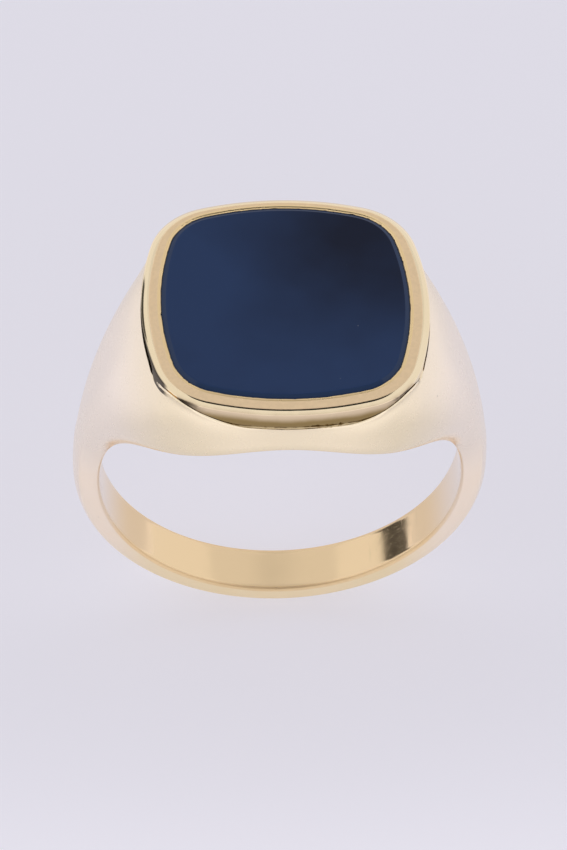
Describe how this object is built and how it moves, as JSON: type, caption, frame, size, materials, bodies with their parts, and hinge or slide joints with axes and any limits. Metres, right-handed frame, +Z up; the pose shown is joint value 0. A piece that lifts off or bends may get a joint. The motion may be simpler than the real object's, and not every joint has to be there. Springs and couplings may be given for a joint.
{
  "type": "signet ring",
  "caption": "Yellow gold signet ring with a cushion-shaped dark blue flat stone in a rolled frame, tapering shoulders and a plain narrow hoop.",
  "frame": {"origin": "centre of the finger hole, on its axis and half way along the hoop's width", "axes": "+Z up through the stone, square to its table; +Y along the finger; +X to the right across the finger. The ring stands on the bottom of its hoop."},
  "size_m": [0.0224, 0.0148, 0.024],
  "materials": {
    "yellow_gold": "polished yellow gold, lightly worn",
    "rim_gold": "fine satin flat, polished roll, yellow gold",
    "fine_gold": "burnished fine gold strip",
    "gold_solder": "dull gold solder",
    "cement": "dark setting cement",
    "navy_stone": "opaque dark blue polished stone"
  },
  "bodies": {
    "root": {"ring_body": "yellow_gold", "hoop_seam_solder": "gold_solder", "frame_solder": "gold_solder", "bezel_frame": "rim_gold", "bearing_ledge": "yellow_gold", "cement_bed": "cement", "bezel_lip": "fine_gold", "seal_stone": "navy_stone"}
  },
  "joints": []
}
